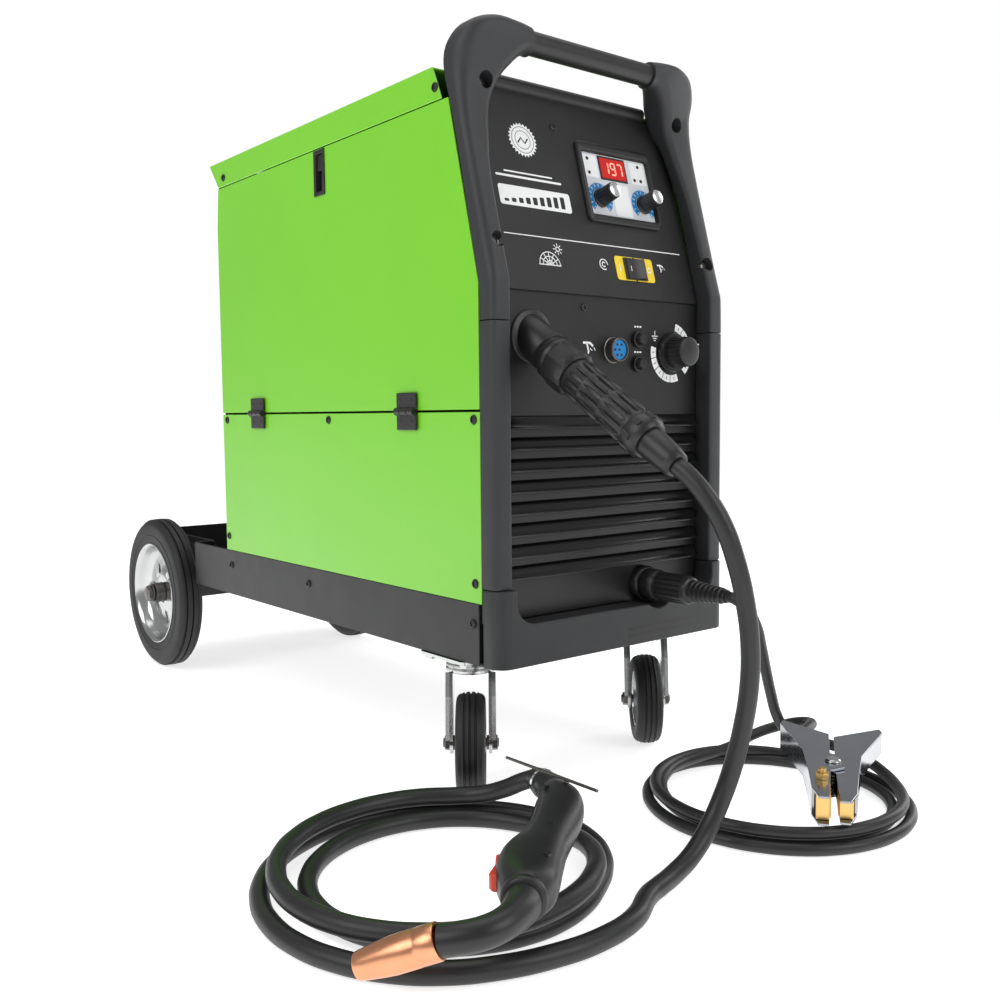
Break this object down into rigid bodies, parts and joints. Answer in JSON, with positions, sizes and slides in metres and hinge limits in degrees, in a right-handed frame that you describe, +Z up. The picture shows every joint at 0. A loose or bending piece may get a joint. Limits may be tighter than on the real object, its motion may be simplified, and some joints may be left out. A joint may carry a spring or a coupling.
{
  "type": "mig welder on cart",
  "caption": "Green wire-feed welding machine in a wheeled cart cabinet with a leaning control panel, carry handle, torch on a long cable, and ground clamp lead.",
  "frame": {"origin": "on the floor, under the middle of the cart's own box, measured without the two leads and what is on them", "axes": "+Z up, the control panel faces -Y, the bottle tray and the big wheels are at +Y, the spool door is on the -X side"},
  "size_m": [0.567, 1.075, 0.6705],
  "materials": {
    "black_steel": "satin",
    "zinc_steel": "bright zinc",
    "grey_steel": "satin",
    "green_paint": "gloss",
    "charcoal_plastic": "textured",
    "black_satin": "satin",
    "black_plastic": "satin",
    "silver_face": "printed foil",
    "blue_plastic": "gloss",
    "screw_black": "satin",
    "tyre_rubber": "matt",
    "feeder_cast": "cast",
    "roll_steel": "ground",
    "wire_steel": "copper washed wire",
    "core_steel": "varnished",
    "brass_fitting": "machined",
    "cable_rubber": "satin",
    "red_plastic": "satin",
    "copper": "drawn copper"
  },
  "bodies": {
    "cart": {"base_pan": "black_steel", "bottle_tray": "black_steel", "rear_axle": "zinc_steel", "divider_wall": "grey_steel", "rear_panel": "black_steel", "gas_inlet": "brass_fitting", "top_cover": "green_paint", "lower_side_panel": "green_paint", "right_side_panel": "green_paint", "left_rail": "charcoal_plastic", "right_rail": "charcoal_plastic", "handle_bar": "black_satin", "control_panel": "black_satin", "louvre_panel": "black_satin", "bumper": "charcoal_plastic", "control_bezel": "black_plastic", "control_faceplate": "silver_face", "euro_socket": "black_plastic", "control_socket": "blue_plastic", "ground_socket": "black_plastic", "panel_hinge_leaves": "black_steel", "case_screws": "screw_black", "caster_plates": "zinc_steel", "wire_feeder": "feeder_cast", "transformer": "core_steel", "torch_plug": "black_plastic", "torch_cable": "cable_rubber", "torch_coil": "cable_rubber", "torch_handle": "black_plastic", "torch_neck": "black_plastic", "torch_nozzle": "copper", "ground_plug": "black_plastic", "ground_cable": "cable_rubber", "ground_coil": "cable_rubber", "clamp_lower_jaw": "zinc_steel"},
    "left_rear_wheel": {"left_rear_tyre": "tyre_rubber", "left_rear_rim": "zinc_steel"},
    "right_rear_wheel": {"right_rear_tyre": "tyre_rubber", "right_rear_rim": "zinc_steel"},
    "left_caster": {"left_caster_fork": "zinc_steel"},
    "right_caster": {"right_caster_fork": "zinc_steel"},
    "left_caster_roller": {"left_caster_wheel": "tyre_rubber"},
    "right_caster_roller": {"right_caster_wheel": "tyre_rubber"},
    "side_door": {"door": "green_paint", "door_hinge_leaves": "black_steel", "latch_frame": "black_plastic"},
    "door_latch": {"latch_slider": "black_plastic"},
    "wire_speed_knob": {"wire_knob": "black_plastic"},
    "voltage_knob": {"volt_knob": "black_plastic"},
    "rocker": {"power_rocker": "black_plastic"},
    "range_switch": {"range_knob": "black_plastic"},
    "upper_button": {"upper_breaker": "black_plastic"},
    "lower_button": {"lower_breaker": "black_plastic"},
    "spool": {"wire_spool": "wire_steel"},
    "feed_roll": {"drive_roll": "roll_steel"},
    "feed_arm": {"pressure_arm": "black_plastic"},
    "top_roll": {"idle_roll": "roll_steel"},
    "fan": {"fan_rotor": "black_plastic"},
    "trigger": {"torch_trigger": "red_plastic"},
    "clamp_half": {"clamp_upper_jaw": "zinc_steel"}
  },
  "joints": [
    {"name": "left_wheel_spin", "type": "hinge", "parent": "cart", "child": "left_rear_wheel", "pos_m": [-0.1455, 0.324, 0.1], "axis": [1, 0, 0], "continuous": true},
    {"name": "right_wheel_spin", "type": "hinge", "parent": "cart", "child": "right_rear_wheel", "pos_m": [0.1455, 0.324, 0.1], "axis": [1, 0, 0], "continuous": true},
    {"name": "left_caster_swivel", "type": "hinge", "parent": "cart", "child": "left_caster", "pos_m": [-0.113, -0.326, 0.111], "axis": [0, 0, 1], "continuous": true},
    {"name": "right_caster_swivel", "type": "hinge", "parent": "cart", "child": "right_caster", "pos_m": [0.113, -0.326, 0.111], "axis": [0, 0, 1], "continuous": true},
    {"name": "left_caster_roll", "type": "hinge", "parent": "left_caster", "child": "left_caster_roller", "pos_m": [-0.12559, -0.34154, 0.045], "axis": [0.7771, -0.6293, 0], "continuous": true},
    {"name": "right_caster_roll", "type": "hinge", "parent": "right_caster", "child": "right_caster_roller", "pos_m": [0.10041, -0.34154, 0.045], "axis": [0.7771, -0.6293, 0], "continuous": true},
    {"name": "door_hinge", "type": "hinge", "parent": "cart", "child": "side_door", "pos_m": [-0.149, -0.134, 0.3415], "axis": [0, -1, 0], "range_deg": [0, 170]},
    {"name": "latch_slide", "type": "slide", "parent": "side_door", "child": "door_latch", "axis": [0, 0, -1], "range_m": [0, 0.006], "stiffness_N_per_m": 300, "springref_m": -0.004},
    {"name": "wire_knob_turn", "type": "hinge", "parent": "cart", "child": "wire_speed_knob", "pos_m": [0.018, -0.37088, 0.54017], "axis": [0, -0.9641, 0.2656], "range_deg": [-150, 150]},
    {"name": "volt_knob_turn", "type": "hinge", "parent": "cart", "child": "voltage_knob", "pos_m": [0.075, -0.37088, 0.54017], "axis": [0, -0.9641, 0.2656], "range_deg": [-150, 150]},
    {"name": "rocker_tilt", "type": "hinge", "parent": "cart", "child": "rocker", "pos_m": [0.0445, -0.3793, 0.47196], "axis": [0, 0.2656, 0.9641], "range_deg": [0, 16]},
    {"name": "range_knob_turn", "type": "hinge", "parent": "cart", "child": "range_switch", "pos_m": [0.09, -0.394, 0.396], "axis": [0, -1, 0], "range_deg": [-150, 150]},
    {"name": "upper_button_press", "type": "slide", "parent": "cart", "child": "upper_button", "axis": [0, 1, 0], "range_m": [0, 0.003], "stiffness_N_per_m": 300, "springref_m": -0.003},
    {"name": "lower_button_press", "type": "slide", "parent": "cart", "child": "lower_button", "axis": [0, 1, 0], "range_m": [0, 0.003], "stiffness_N_per_m": 300, "springref_m": -0.003},
    {"name": "spool_spin", "type": "hinge", "parent": "cart", "child": "spool", "pos_m": [-0.083, -0.014, 0.473], "axis": [1, 0, 0], "continuous": true},
    {"name": "feed_roll_spin", "type": "hinge", "parent": "cart", "child": "feed_roll", "pos_m": [-0.054, -0.254, 0.4], "axis": [1, 0, 0], "continuous": true},
    {"name": "feed_arm_lift", "type": "hinge", "parent": "cart", "child": "feed_arm", "pos_m": [-0.064, -0.22, 0.43], "axis": [-1, 0, 0], "range_deg": [0, 60]},
    {"name": "top_roll_spin", "type": "hinge", "parent": "feed_arm", "child": "top_roll", "pos_m": [-0.054, -0.254, 0.431], "axis": [1, 0, 0], "continuous": true},
    {"name": "fan_spin", "type": "hinge", "parent": "cart", "child": "fan", "pos_m": [0.062, 0.084, 0.43], "axis": [0, 1, 0], "continuous": true},
    {"name": "trigger_press", "type": "slide", "parent": "cart", "child": "trigger", "axis": [0.6622, -0.7493, 0], "range_m": [0, 0.003], "stiffness_N_per_m": 400, "springref_m": -0.003},
    {"name": "clamp_squeeze", "type": "hinge", "parent": "cart", "child": "clamp_half", "pos_m": [0.06419, -0.58708, 0.03752], "axis": [-0.0486, -0.034, 0.9982], "range_deg": [0, 18], "stiffness_Nm_per_rad": 2, "springref_deg": -20.05}
  ],
  "couplings": [
    {"joint": "top_roll_spin", "follows": "feed_roll_spin", "ratio": -1}
  ]
}
